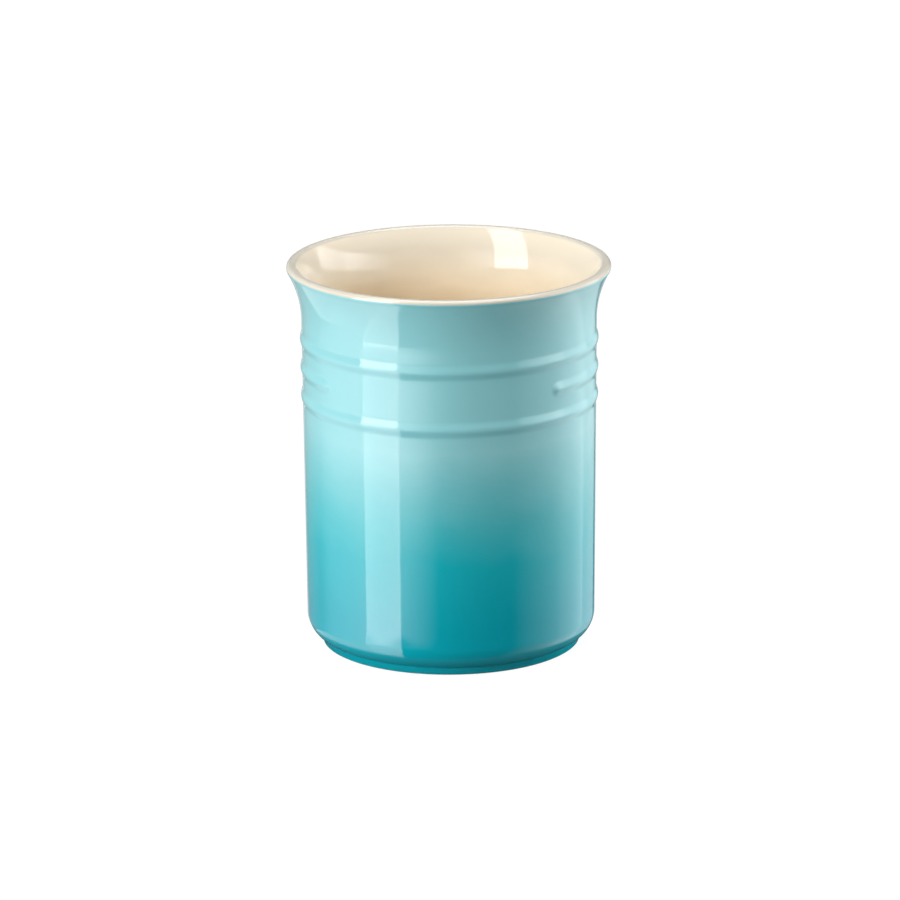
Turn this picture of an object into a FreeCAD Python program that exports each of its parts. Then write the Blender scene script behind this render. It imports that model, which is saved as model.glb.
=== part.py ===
"""Glazed stoneware utensil crock: a flared pot with three raised bands, the middle one open at the front.

Millimetres. +Z is up, the origin is at the centre of the standing face, and -Y is the front.
"""

import FreeCAD, Part
import math
import os
import re

import Sketcher

# Driving dimensions: alias, value, what it is
SIZES = [
    ("overall_height", 150.0, "standing face to the crown of the lip"),
    ("rim_diameter", 124.2, "across the outside of the lip"),
    ("flare_height", 22.0, "from the neck to the crown of the lip"),
    ("flare_overhang", 5.5, "how far the lip stands out past the neck"),
    ("wall_draft", 1.0, "how far the wall draws in from the neck to the base"),
    ("wall_thickness", 5.0, "glazed wall"),
    ("lip_thickness", 4.0, "glazed lip, across its top"),
    ("lip_edge_radius", 1.6, "rounding of both edges of the lip"),
    ("corner_radius", 9.8, "outer corner between wall and foot"),
    ("corner_sweep", 57.0, "degrees that the outer corner turns through"),
    ("foot_height", 3.6, "standing face to the ledge above the foot ring"),
    ("foot_ledge", 1.5, "ledge between the outer corner and the foot ring"),
    ("foot_fillet", 1.0, "hollow between ledge and foot ring"),
    ("foot_ring_width", 6.4, "glazed foot ring"),
    ("foot_edge_radius", 0.6, "rounding of the bare clay beside the standing face"),
    ("bare_height", 0.4, "bare clay left between the standing face and the glaze"),
    ("recess_depth", 2.6, "hollow inside the foot ring"),
    ("recess_fillet", 1.4, "inner corner of that hollow"),
    ("floor_thickness", 6.4, "glazed floor"),
    ("inside_corner_radius", 9.0, "inner corner between wall and floor"),
    ("glaze_thickness", 0.4, "coat on the outside and the underside"),
    ("lining_thickness", 0.4, "coat on the inside and the lip"),
    ("colour_line_drop", 0.9, "crown of the lip to the line where the two glazes meet"),
    ("band_drop", 7.2, "neck to the crest of the top band"),
    ("band_pitch", 11.2, "crest to crest"),
    ("band_width", 6.8, "across a band where it leaves the wall"),
    ("band_height", 0.75, "how far a band stands out of the wall"),
    ("band_root", 0.8, "how deep a band is rooted in the clay wall"),
    ("band_gap_angle", 103.0, "degrees between the centres of the round ends of the middle band"),
]
BAND_COUNT = 3
MIDDLE_BAND = 1

# The largest share of its wall that a rounding may take
LIP_SHARE = 0.48
LEDGE_SHARE = 0.8
RECESS_SHARE = 0.6

# Degrees that the flare leans out at the lip, outside and inside, where the drawing of its arcs starts
OUTER_LEAN = 30
INNER_LEAN = 35

SHEET = "sizes"
ALIASES = [alias for alias, _, _ in SIZES]

# Radii of the glazed pot, as formulas of the driving dimensions
RIM = "(rim_diameter / 2)"
NECK = f"({RIM} - flare_overhang)"
BASE = f"({NECK} - wall_draft)"
CORNER_END = f"({BASE} - corner_radius * (1 - cos(corner_sweep)))"
FOOT = f"({CORNER_END} - foot_ledge)"
RECESS = f"({FOOT} - foot_ring_width)"
LIP_EDGE = f"min(lip_edge_radius; {LIP_SHARE} * lip_thickness)"
LIP_OUTER = f"({RIM} - {LIP_EDGE})"
LIP_INNER = f"({RIM} - lip_thickness + {LIP_EDGE})"
FOOT_FILLET = f"min(foot_fillet; {LEDGE_SHARE} * foot_ledge)"
RECESS_FILLET = f"min(recess_fillet; {RECESS_SHARE} * recess_depth)"

# Heights of the glazed pot
NECK_Z = "(overall_height - flare_height)"
CORNER_Z = "(foot_height + corner_radius * sin(corner_sweep))"
FLOOR_Z = "(recess_depth + floor_thickness)"
LIP_Z = f"(overall_height - {LIP_EDGE})"
COLOUR_LINE_Z = "(overall_height - colour_line_drop)"

# Points along the middle of the clay, where the coats are cut off from inside
FOOT_MIDDLE = f"({FOOT} - foot_ring_width / 2)"
FLOOR_MIDDLE_Z = "(recess_depth + floor_thickness / 2)"
WALL_MIDDLE = [
    (f"({BASE} - wall_thickness / 2)", CORNER_Z),
    (f"({NECK} - wall_thickness / 2)", NECK_Z),
    (f"({NECK} - wall_thickness / 2 + flare_overhang / 4)", f"({NECK_Z} + flare_height / 2)"),
    (f"({RIM} - lip_thickness / 2)", COLOUR_LINE_Z),
]

doc = FreeCAD.newDocument("utensil_crock")
sheet = doc.addObject("Spreadsheet::Sheet", SHEET)
for row, (alias, value, note) in enumerate(SIZES, start=1):
    sheet.set(f"A{row}", note)
    sheet.set(f"B{row}", str(value))
    sheet.setAlias(f"B{row}", alias)
doc.recompute()


def bound(formula):
    """The formula with every driving dimension written as a cell of the sheet."""
    return re.sub(r"\b(" + "|".join(ALIASES) + r")\b", SHEET + r".\1", formula)


def number(formula):
    """What the formula comes to at the present sizes."""
    return float(sheet.evalExpression(bound(formula)))


class Outline:
    """A closed run of lines and arcs in a sketch, drawn with a pen and bound to the sheet.

    A point is a pair of formulas, radius and height. None leaves a coordinate to the other rules, and
    the guess then says about where it comes out.
    """

    def __init__(self, body, name, plane, start, guess=None, turn=None):
        self.sketch = body.newObject("Sketcher::SketchObject", name)
        origin = [feature for feature in body.Origin.OriginFeatures if feature.Role == plane]
        self.sketch.AttachmentSupport = [(origin[0], "")]
        self.sketch.MapMode = "FlatFace"
        if turn:
            about_height = FreeCAD.Rotation(FreeCAD.Vector(0, 1, 0), number(turn))
            self.sketch.AttachmentOffset = FreeCAD.Placement(FreeCAD.Vector(), about_height)
            self.sketch.setExpression("AttachmentOffset.Rotation.Angle", bound(turn))
        self.formulas = {}
        self.start = start
        self.start_pen = self.pen = self.place(start, guess)
        self.heading = None
        self.ends = []

    def place(self, point, guess):
        """The point in numbers, with the guess where a coordinate is free."""
        return [number(formula or (guess and guess[axis])) for axis, formula in enumerate(point)]

    def rule(self, kind, formula, *where):
        """Add a driving constraint that follows a formula."""
        name = "_".join([kind.lower(), *map(str, where)])
        index = self.sketch.addConstraint(Sketcher.Constraint(kind, *where, number(formula)))
        self.sketch.renameConstraint(index, name)
        self.formulas[name] = formula

    def pin(self, edge, end, point):
        """Hold one end, or the centre, of an edge at a point."""
        for kind, axis, formula in (("DistanceX", -2, point[0]), ("DistanceY", -1, point[1])):
            if formula == "0":
                self.sketch.addConstraint(Sketcher.Constraint("PointOnObject", edge, end, axis))
            elif formula:
                self.rule(kind, formula, edge, end)

    def tie(self, edge, first, last, smooth):
        """Join an edge to the one before it, or to the start point."""
        if self.ends:
            before, _, tail = self.ends[-1]
            kind = "Tangent" if smooth else "Coincident"
            self.sketch.addConstraint(Sketcher.Constraint(kind, before, tail, edge, first))
        else:
            self.pin(edge, first, self.start)
        self.ends.append((edge, first, last))

    def line_to(self, point, guess=None, smooth=False):
        """A straight edge from the pen to a point."""
        target = self.place(point, guess)
        edge = self.add_line(self.pen, target)
        self.tie(edge, 1, 2, smooth)
        self.pin(edge, 2, point)
        length = math.dist(self.pen, target)
        self.heading = [(target[axis] - self.pen[axis]) / length for axis in (0, 1)]
        self.pen = target

    def add_line(self, tail, tip, construction=False):
        """A line in the sketch, given in numbers."""
        segment = Part.LineSegment(FreeCAD.Vector(*tail, 0), FreeCAD.Vector(*tip, 0))
        return self.sketch.addGeometry(segment, construction)

    def arc_to(self, point, turn, guess=None, radius=None, centre=None, smooth=True):
        """A round edge from the pen to a point, turning left for 1 and right for -1."""
        target = self.place(point, guess)
        middle = self.arc_middle(target, turn, radius, centre, smooth)
        size = math.dist(middle, self.pen)
        angles = [math.atan2(spot[1] - middle[1], spot[0] - middle[0]) for spot in (self.pen, target)]
        first, last = (1, 2) if turn > 0 else (2, 1)
        low, high = angles[::turn]
        if high < low:
            high += math.tau
        circle = Part.Circle(FreeCAD.Vector(*middle, 0), FreeCAD.Vector(0, 0, 1), size)
        edge = self.sketch.addGeometry(Part.ArcOfCircle(circle, low, high), False)
        self.tie(edge, first, last, smooth)
        self.pin(edge, last, point)
        if radius:
            self.rule("Radius", radius, edge)
        if centre:
            self.pin(edge, 3, centre)
        self.heading = [-turn * (target[1] - middle[1]) / size, turn * (target[0] - middle[0]) / size]
        self.pen = target

    def arc_middle(self, target, turn, radius, centre, smooth):
        """The centre of an arc in numbers: the one given, or from its tangent, or from its radius."""
        if centre:
            return self.place(centre, None)
        chord = [target[axis] - self.pen[axis] for axis in (0, 1)]
        length = math.hypot(*chord)
        if smooth:
            side = [-turn * self.heading[1], turn * self.heading[0]]
            reach = length ** 2 / (2 * (chord[0] * side[0] + chord[1] * side[1]))
            return [self.pen[axis] + reach * side[axis] for axis in (0, 1)]
        rise = turn * math.sqrt(number(radius) ** 2 - length ** 2 / 4) / length
        return [self.pen[0] + chord[0] / 2 - chord[1] * rise, self.pen[1] + chord[1] / 2 + chord[0] * rise]

    def close(self):
        """Draw the last edge back to the start."""
        edge = self.add_line(self.pen, self.start_pen)
        self.tie(edge, 1, 2, False)
        first, start, _ = self.ends[0]
        self.sketch.addConstraint(Sketcher.Constraint("Coincident", edge, 2, first, start))
        return edge

    def finish(self):
        """Bind every rule to its formula and hand over the sketch."""
        for name, formula in self.formulas.items():
            self.sketch.setExpression(f"Constraints.{name}", bound(formula))
        doc.recompute()
        if not self.sketch.FullyConstrained:
            raise RuntimeError(f"{self.sketch.Name} is not fully constrained")
        return self.sketch


def revolve(body, name, sketch, axis="V_Axis", angle="360", both_ways=False, backwards=False):
    """Turn a sketch about one of its axes and add it to the body."""
    turned = body.newObject("PartDesign::Revolution", name)
    turned.Profile = sketch
    turned.ReferenceAxis = (sketch, [axis])
    turned.Midplane = both_ways
    turned.Reversed = backwards
    turned.setExpression("Angle", bound(angle))
    doc.recompute()
    return turned


def draw_outside(outline, skin):
    """From the foot ring up to the lip, a given depth under the glazed surface."""
    outline.line_to((f"{FOOT} - {skin}", f"foot_height - {FOOT_FILLET}"))
    outline.arc_to((f"{FOOT} + {FOOT_FILLET}", f"foot_height + {skin}"), -1)
    outline.line_to((None, f"foot_height + {skin}"), (CORNER_END, None))
    outline.arc_to((f"{BASE} - {skin}", CORNER_Z), 1, radius=f"corner_radius - {skin}", smooth=False)
    outline.line_to((f"{NECK} - {skin}", NECK_Z), smooth=True)
    edge = f"({LIP_EDGE} - {skin})"
    lip_start = (f"{LIP_OUTER} + {edge} * cos({OUTER_LEAN})", f"{LIP_Z} - {edge} * sin({OUTER_LEAN})")
    outline.arc_to((None, None), -1, lip_start)


def draw_lip_edge(outline, skin, end, guess, smooth):
    """Round the outer edge of the lip as far as the end point."""
    outline.arc_to(end, 1, guess, f"{LIP_EDGE} - {skin}", (LIP_OUTER, LIP_Z), smooth)


def draw_lip_top(outline, skin):
    """Across the crown of the lip, from its outer edge to its inner one."""
    outline.line_to((LIP_INNER, f"overall_height - {skin}"))


def draw_inside(outline, skin):
    """From the inner edge of the lip down the wall and across the floor to the middle."""
    edge = f"({LIP_EDGE} - {skin})"
    lip_end = (f"{LIP_INNER} - {edge} * cos({INNER_LEAN})", f"{LIP_Z} + {edge} * sin({INNER_LEAN})")
    outline.arc_to((None, None), 1, lip_end, edge)
    outline.arc_to((f"{NECK} - wall_thickness + {skin}", NECK_Z), 1)
    bottom = f"{BASE} - wall_thickness + {skin}"
    outline.line_to((bottom, f"{FLOOR_Z} + inside_corner_radius"), smooth=True)
    corner_end = (f"{bottom} - inside_corner_radius - {skin}", None)
    outline.arc_to((None, f"{FLOOR_Z} - {skin}"), -1, corner_end)
    outline.line_to(("0", f"{FLOOR_Z} - {skin}"), smooth=True)


def draw_recess(outline, skin):
    """From the middle of the underside across the hollow and into its rounded corner."""
    ceiling = f"recess_depth + {skin}"
    outline.line_to((f"{RECESS} - {RECESS_FILLET}", ceiling))
    outline.arc_to((f"{RECESS} + {skin}", f"recess_depth - {RECESS_FILLET}"), -1)


def add_bands(body, skin):
    """Three round bands on the wall. The middle one leaves the front bare and ends in two round tips."""
    bead = f"((band_width ^ 2 / 4 + band_height ^ 2) / (2 * band_height) - {skin})"
    for index in range(BAND_COUNT):
        height = f"({NECK_Z} - band_drop - {index} * band_pitch)"
        wall = f"({BASE} + wall_draft * ({height} - {CORNER_Z}) / ({NECK_Z} - {CORNER_Z}))"
        root = f"({wall} - glaze_thickness - band_root)"
        centre = (f"({wall} + band_height - {skin} - {bead})", height)
        reach = f"sqrt({bead} ^ 2 - ({root} - {centre[0]}) ^ 2)"
        low, high = (None, f"{height} - {reach}"), (None, f"{height} + {reach}")
        section = Outline(body, f"band_{index}_section", "YZ_Plane", (root, None), low)
        section.arc_to((root, None), 1, high, bead, centre, smooth=False)
        section.close()
        if index != MIDDLE_BAND:
            revolve(body, f"band_{index}", section.finish())
            continue
        revolve(body, f"band_{index}", section.finish(), angle="360 - band_gap_angle", both_ways=True)
        for side, turn in (("right", "band_gap_angle / 2 - 90"), ("left", "-90 - band_gap_angle / 2")):
            crest = (f"{centre[0]} + {bead}", height)
            tip = Outline(body, f"{side}_tip_section", "XZ_Plane", crest, turn=turn)
            tip.arc_to((root, None), 1, high, None, centre, smooth=False)
            tip.line_to((root, height))
            radial = tip.close()
            axle = tip.add_line(tip.pen, tip.start_pen, construction=True)
            for end in (1, 2):
                tip.sketch.addConstraint(Sketcher.Constraint("Coincident", axle, end, radial, end))
            revolve(body, f"{side}_tip", tip.finish(), "Axis0", "180", backwards=side == "left")


def stoneware():
    """The fired clay pot: wall, floor, flared rim, bands and foot ring."""
    body = doc.addObject("PartDesign::Body", "stoneware_body")
    glaze, lining = "glaze_thickness", "lining_thickness"
    section = Outline(body, "pot_section", "XZ_Plane", ("0", f"recess_depth + {glaze}"))
    draw_recess(section, glaze)
    section.line_to((f"{RECESS} + {glaze}", "foot_edge_radius"))
    section.arc_to((f"{RECESS} + {glaze} + foot_edge_radius", "0"), 1)
    section.line_to((f"{FOOT} - {glaze} - foot_edge_radius", "0"))
    section.arc_to((f"{FOOT} - {glaze}", "foot_edge_radius"), 1)
    draw_outside(section, glaze)
    draw_lip_edge(section, lining, (LIP_OUTER, None), (None, f"overall_height - {lining}"), True)
    draw_lip_top(section, lining)
    draw_inside(section, lining)
    section.close()
    revolve(body, "pot", section.finish())
    add_bands(body, glaze)
    return body


def blank(name, start):
    """A body for a coat and the outline of its section. The coat is thicker here than it ends up."""
    body = doc.addObject("PartDesign::Body", f"{name}_blank")
    return body, Outline(body, f"{name}_section", "XZ_Plane", start)


def outer_blank():
    """The outside coat, from the foot up to the line below the crown of the lip."""
    body, section = blank("outer_glaze", (FOOT_MIDDLE, "bare_height"))
    section.line_to((FOOT, "bare_height"))
    draw_outside(section, "0")
    draw_lip_edge(section, "0", (None, COLOUR_LINE_Z), (RIM, None), True)
    for point in reversed(WALL_MIDDLE):
        section.line_to(point)
    section.line_to((FOOT_MIDDLE, "foot_height"))
    section.close()
    revolve(body, "outer_glaze_turned", section.finish())
    add_bands(body, "0")
    return body


def inner_blank():
    """The inside coat, from the same line over the lip and down to the floor."""
    body, section = blank("inner_glaze", WALL_MIDDLE[-1])
    section.line_to((None, COLOUR_LINE_Z), (RIM, None))
    draw_lip_edge(section, "0", (LIP_OUTER, None), (None, "overall_height"), False)
    draw_lip_top(section, "0")
    draw_inside(section, "0")
    section.line_to(("0", FLOOR_MIDDLE_Z))
    section.line_to((FOOT_MIDDLE, FLOOR_MIDDLE_Z))
    for point in WALL_MIDDLE[:-1]:
        section.line_to(point)
    section.close()
    revolve(body, "inner_glaze_turned", section.finish())
    return body


def underside_blank():
    """The coat in the hollow inside the foot ring."""
    body, section = blank("underside_glaze", ("0", "recess_depth"))
    draw_recess(section, "0")
    section.line_to((RECESS, "bare_height"))
    section.line_to((FOOT_MIDDLE, "bare_height"))
    section.line_to((FOOT_MIDDLE, FLOOR_MIDDLE_Z))
    section.line_to(("0", FLOOR_MIDDLE_Z))
    section.close()
    revolve(body, "underside_glaze_turned", section.finish())
    return body


def coat(name, body, pot):
    """A glaze coat: its blank less the clay that it covers."""
    cut = doc.addObject("Part::Cut", name)
    cut.Base = body
    cut.Tool = pot
    doc.recompute()
    return cut


def check(pieces):
    """Stop if anything in the document failed, or a piece is not one sound solid."""
    for item in doc.Objects:
        if {"Invalid", "Error"} & set(item.State):
            raise RuntimeError(f"{item.Name} failed")
    for piece in pieces:
        if piece.Shape.isNull() or not piece.Shape.isValid() or len(piece.Shape.Solids) != 1:
            raise RuntimeError(f"{piece.Label} is not one sound solid")


pot = stoneware()
pieces = [
    pot,
    coat("outer_glaze", outer_blank(), pot),
    coat("inner_glaze", inner_blank(), pot),
    coat("underside_glaze", underside_blank(), pot),
]
doc.recompute()
check(pieces)

os.makedirs("parts", exist_ok=True)
for piece in pieces:
    piece.Placement = FreeCAD.Placement()
    piece.Shape.exportStep(f"parts/{piece.Label}.step")
    print(f"{piece.Label}: {piece.Shape.Volume:.1f} mm3")
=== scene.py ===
"""Looks of a glazed stoneware utensil crock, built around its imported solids.

Metres, in the frame of the solids: +Z is up, the pot stands on z = 0 and -Y is its front.
"""

import math
from typing import NamedTuple

import bpy
from bpy.props import FloatProperty, FloatVectorProperty, IntProperty, PointerProperty
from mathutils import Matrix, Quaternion, Vector


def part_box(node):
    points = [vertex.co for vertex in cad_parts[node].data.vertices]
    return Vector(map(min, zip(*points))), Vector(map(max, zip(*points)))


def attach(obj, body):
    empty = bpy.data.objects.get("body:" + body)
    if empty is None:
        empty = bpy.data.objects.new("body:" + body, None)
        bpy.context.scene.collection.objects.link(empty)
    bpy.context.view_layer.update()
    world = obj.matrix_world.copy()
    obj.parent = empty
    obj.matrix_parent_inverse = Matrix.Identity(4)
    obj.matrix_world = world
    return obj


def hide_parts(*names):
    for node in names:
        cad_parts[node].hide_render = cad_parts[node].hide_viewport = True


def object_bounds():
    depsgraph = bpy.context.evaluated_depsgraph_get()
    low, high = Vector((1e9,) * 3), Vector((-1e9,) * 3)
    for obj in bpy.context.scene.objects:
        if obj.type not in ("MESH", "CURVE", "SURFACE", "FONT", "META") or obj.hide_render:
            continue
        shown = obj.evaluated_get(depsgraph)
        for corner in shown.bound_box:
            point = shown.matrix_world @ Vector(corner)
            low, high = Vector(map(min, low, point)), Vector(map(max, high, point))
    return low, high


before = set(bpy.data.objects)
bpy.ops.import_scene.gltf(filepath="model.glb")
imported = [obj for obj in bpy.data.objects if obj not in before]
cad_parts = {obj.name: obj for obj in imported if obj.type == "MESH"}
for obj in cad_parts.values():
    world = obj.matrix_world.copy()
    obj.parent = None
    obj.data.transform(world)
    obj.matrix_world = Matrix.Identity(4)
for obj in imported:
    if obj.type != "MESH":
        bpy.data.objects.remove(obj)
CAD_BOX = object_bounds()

bl_info = {
    "name": "Utensil Crock",
    "version": (1, 0, 0),
    "blender": (4, 5, 0),
    "location": "3D View > Sidebar > Crock",
    "description": "Glazes a stoneware crock with raised bands and sets it in a small studio",
    "category": "Object",
}

BODY = "root"
MILLIMETRE = 0.001

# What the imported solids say
CLAY_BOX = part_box("stoneware_body")
OUTER_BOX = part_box("outer_glaze")
INNER_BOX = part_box("inner_glaze")
UNDER_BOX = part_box("underside_glaze")
GLAZE = CAD_BOX[1].x - CLAY_BOX[1].x
LINING = CAD_BOX[1].z - CLAY_BOX[1].z

# How far the chords of an arc may stray from it, where it shows and where it lies on the clay
SHOWN_SAG = 0.002 * MILLIMETRE
HIDDEN_SAG = 0.03 * MILLIMETRE
MERGE_DISTANCE = 0.001 * MILLIMETRE
SHARP_EDGE = math.radians(40)

# The raised bands: how many, which one is open at the front, and the rows of faces of one on the clay side
BAND_COUNT = 3
OPEN_BAND = 1
HIDDEN_BAND_ROWS = 6
BAND_INPUTS = ("Rise", "Reach", "Top Crest", "Pitch", "Gap", "Wall Radius")

# The outer glaze fades from deep to pale between these heights, with its colours at these shares
FADE_LOW = 20 * MILLIMETRE
FADE_HIGH = 90 * MILLIMETRE
FADE_STOPS = (0.0, 0.36, 0.57, 0.79, 1.0)
FADE_DRIFT = 12 * MILLIMETRE
# Share of deep teal painted as shade on the slopes under the crests of the bands
CREST_SHADE_SHARE = 0.15

# Depths under the crown of the lip between which the outer glaze deepens towards teal as painted shade on
# the rounding that faces up, and then turns to the cream of the inner glaze, dimmed as painted shade
SHADED_ROLL_DEPTHS = (3.4 * MILLIMETRE, 1.6 * MILLIMETRE)
ROLL_SHADE_SHARE = 0.2
CROWN_DEPTHS = (1.7 * MILLIMETRE, 1.2 * MILLIMETRE)
CROWN_SHADE = 0.85

# Depths under the crown between which the inner glaze runs from painted shade in tan deep down, through
# honey painted lighter, to cream, and then to painted shade over the crown of the lip
INSIDE_DEPTHS = (36 * MILLIMETRE, 8 * MILLIMETRE)
INSIDE_STOPS = (0.0, 0.5, 1.0)
INSIDE_DRIFT = 6 * MILLIMETRE
LIP_SHADE_DEPTHS = (1.2 * MILLIMETRE, 0.2 * MILLIMETRE)

# Surface of the glazes: clouds, waves and smears to the metre, the depth of the waves, and the roughness
OUTER_CLOUDS = 45.0
INNER_CLOUDS = 55.0
WAVES = 60.0
WAVE_DEPTH = 0.06 * MILLIMETRE
WAVE_STRENGTH = 0.5
SMEARS = 220.0
SMEAR_ROUGHNESS = 0.04
OUTER_ROUGHNESS = 0.04
INNER_ROUGHNESS = 0.05
GLAZE_IOR = 1.5

# Surface of the bare clay: blotches, specks and grains to the metre, and what they do
BLOTCHES = 120.0
BLOTCH_TINT = 0.82
SPECKS = 900.0
SPECK_LIMITS = (0.68, 0.74)
SPECK_SHARE = 0.6
IRON = (0.16, 0.10, 0.06)
GRAINS = 1800.0
GRAIN_DEPTH = 0.15 * MILLIMETRE
GRAIN_STRENGTH = 0.6
GRAIN_ROUGHNESS = 0.15
CLAY_ROUGHNESS = 0.75
CLAY_IOR = 1.45

# The floor is a ring: radii between which it begins inside the foot and fades out around the pot, the grey
# that takes the shadow, the white that it glows, and its share of what the gloss shows of the background
FLOOR_RADIUS = 63 * MILLIMETRE
FLOOR_CORNERS = 64
FLOOR_INNER = (48.6 * MILLIMETRE, 49.2 * MILLIMETRE)
FLOOR_OUTER = (57.0 * MILLIMETRE, 61.5 * MILLIMETRE)
FLOOR_GREY = 0.2
FLOOR_GLOW = 0.92
FLOOR_MIRRORED = 0.2

# Distances of the lamps from the axis of the pot: a far ring, cards just inside it, and a near ring
FAR = 2.0
MID = 1.95
NEAR = 1.2

# Directions in which groups of lamps stand, in degrees from the camera to its right
KEY = -55.5
LEFT = -98
FILL = -147
SIDE = 73
RIM = 112
EDGE = 143
BACK = 180

# Sheet above the pot
OVERHEAD_PLACE = (0, 0.1, 1.3)
OVERHEAD_SIZE = (1.2, 1.2)

# How far the camera sees
CAMERA_REACH = 20.0

# Curved card below the key softbox: the slope of glaze that shows its lower end, how far below the horizon
# its upper end lies, its sides, how its right side draws in, and how it dims over its upper slices
APRON_SLICES = 10
APRON_STEEPEST = math.radians(27)
APRON_START = math.radians(18.4)
APRON_LEFT = math.radians(-71.5)
APRON_RIGHT = math.radians(-40)
APRON_DRAW_IN = 2.19
APRON_DIMMING = 0.27
APRON_DIMMED_SLICES = 6

# Shares of a lamp that is evenly bright
EVEN = (1.0, 1.0, 1.0, 1.0)


class Softbox(NamedTuple):
    """An upright lamp that faces the axis of the pot, from its lowest to its highest point.

    It gives the first share of its radiance at the side with the smaller angle, the last share at the
    other side, and the bottom and the top share at its ends. A card only shows in the gloss and lights
    nothing, and a flagged lamp lights the pot without showing in the gloss.
    """

    name: str
    degrees: float
    distance: float
    low: float
    high: float
    width: float
    first: float = 1.0
    last: float = 1.0
    bottom: float = 1.0
    top: float = 1.0
    card: bool = False
    flagged: bool = False


# Each takes its radiance from the studio setting of the same name
SOFTBOXES = (
    Softbox("key", KEY, FAR, low=-0.67, high=-0.07, width=1.10),
    Softbox("key_high", KEY, FAR, low=-0.07, high=0.95, width=1.10),
    Softbox("key_top", KEY, FAR, low=0.95, high=3.0, width=1.10),
    Softbox("key_card", KEY, MID, low=-0.65, high=-0.38, width=1.07, top=0.15, card=True),
    Softbox("high_card", KEY, MID, low=-0.07, high=0.80, width=1.07, card=True),
    Softbox("top_card", KEY, MID, low=0.80, high=2.9, width=1.07, card=True),
    Softbox("wing", -25, FAR, low=-0.67, high=1.2, width=1.10, last=0.0),
    Softbox("wing_card", -21, MID, low=-0.58, high=-0.30, width=1.34, last=0.3, bottom=0.0, card=True),
    Softbox("front", -32, FAR, low=0.55, high=1.9, width=1.3, flagged=True),
    Softbox("left", LEFT, FAR, low=-0.90, high=0.95, width=2.04, first=0.25),
    Softbox("left_card", LEFT, MID, low=-0.88, high=-0.07, width=1.99, first=0.1, card=True),
    Softbox("left_foot", LEFT, FAR, low=-2.9, high=-0.90, width=2.04, first=0.4),
    Softbox("left_base", LEFT, MID, low=-6.0, high=-2.83, width=1.99, first=0.4, card=True),
    Softbox("fill", FILL, FAR, low=-0.9, high=1.2, width=1.62, first=0.6),
    Softbox("fill_card", FILL, FAR, low=-6.0, high=-0.9, width=1.62, first=0.6, card=True),
    Softbox("side", 75, NEAR, low=-0.10, high=0.70, width=0.92, first=0.25, card=True),
    Softbox("side_foot", SIDE, NEAR, low=-1.0, high=-0.10, width=1.02, first=0.0),
    Softbox("side_card", SIDE, NEAR, low=-2.6, high=-1.0, width=1.02, first=0.0, card=True),
    Softbox("flank", 100, 1.25, low=-0.10, high=0.70, width=0.80, flagged=True),
    Softbox("rim", RIM, NEAR, low=-0.10, high=0.70, width=0.69, last=0.9),
    Softbox("rim_foot", RIM, NEAR, low=-1.0, high=-0.10, width=0.69, first=0.85),
    Softbox("rim_card", RIM, NEAR, low=-2.6, high=-1.0, width=0.69, first=0.85, card=True),
    Softbox("edge_foot", EDGE, NEAR, low=-1.0, high=0.10, width=0.65, first=0.9, last=0.4),
    Softbox("edge_card", EDGE, NEAR, low=-2.6, high=-1.0, width=0.65, first=0.9, last=0.4, card=True),
    Softbox("far_card", BACK, MID, low=-6.0, high=-0.95, width=1.10, first=0.4, last=0.95, card=True),
    Softbox("back_card", BACK, MID, low=-0.95, high=-0.20, width=1.10, card=True),
)


def length(name, description, default):
    """A length that a user can change."""
    return FloatProperty(name=name, description=description, default=default, precision=5, unit="LENGTH")


def angle(name, description, degrees):
    """An angle that a user can change."""
    default = math.radians(degrees)
    return FloatProperty(name=name, description=description, default=default, unit="ROTATION")


def colour(name, description, default):
    """A linear colour that a user can change."""
    return FloatVectorProperty(
        name=name, description=description, default=default, size=3, min=0, max=1, subtype="COLOR"
    )


def level(name, description, default):
    """A plain number that a user can change."""
    return FloatProperty(name=name, description=description, default=default, min=0)


class CrockSizes(bpy.types.PropertyGroup):
    """Sizes of the glazed pot."""

    height: length("Height", "Standing face to the crown of the lip", CAD_BOX[1].z)
    rim_diameter: length("Rim", "Across the outside of the lip", CAD_BOX[1].x - CAD_BOX[0].x)
    flare_height: length("Flare height", "From the neck to the crown of the lip", 0.022)
    flare_overhang: length("Flare overhang", "How far the lip stands out past the neck", 0.0055)
    wall_draft: length("Wall draft", "How far the wall draws in from the neck to the base", 0.001)
    wall_thickness: length("Wall", "Thickness of the glazed wall", 0.005)
    lip_thickness: length("Lip", "Thickness of the glazed lip", 0.004)
    lip_edge_radius: length("Lip edge", "Rounding of both edges of the lip", 0.0016)
    corner_radius: length("Corner", "Rounding between the wall and the foot", 0.0098)
    corner_sweep: angle("Corner sweep", "How far the corner turns under the pot", 57)
    foot_height: length("Foot height", "Standing face to the ledge above the foot ring", 0.0036)
    foot_ledge: length("Foot ledge", "Ledge between the corner and the foot ring", 0.0015)
    foot_fillet: length("Foot fillet", "Hollow between the ledge and the foot ring", 0.001)
    recess_fillet: length("Recess fillet", "Inner corner of the hollow under the pot", 0.0014)
    inside_corner_radius: length("Inside corner", "Rounding between the inner wall and the floor", 0.009)
    bare_height: length("Bare foot", "Height of the bare clay below the glaze", OUTER_BOX[0].z)
    colour_line: length("Colour line", "Height at which the two glazes meet on the lip", OUTER_BOX[1].z)
    floor_height: length("Floor", "Height of the floor inside", INNER_BOX[0].z + LINING)
    recess_radius: length("Recess radius", "Radius of the hollow under the pot", UNDER_BOX[1].x - GLAZE)
    recess_depth: length("Recess depth", "Depth of the hollow under the pot", UNDER_BOX[1].z - GLAZE)
    band_drop: length("Band drop", "From the neck to the crest of the top band", 0.0072)
    band_pitch: length("Band pitch", "From crest to crest", 0.0112)
    band_width: length("Band width", "Across a band from root to root", 0.0068)
    band_rise: length("Band rise", "How far a band stands out of the wall", 0.00072)
    band_gap: angle("Band gap", "Between the centres of the round ends of the open band", 103)
    band_step: length("Band step", "Height of a row of faces on the bands", 0.0004)
    segments: IntProperty(name="Segments", description="Faces around the pot", default=384, min=16)


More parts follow.
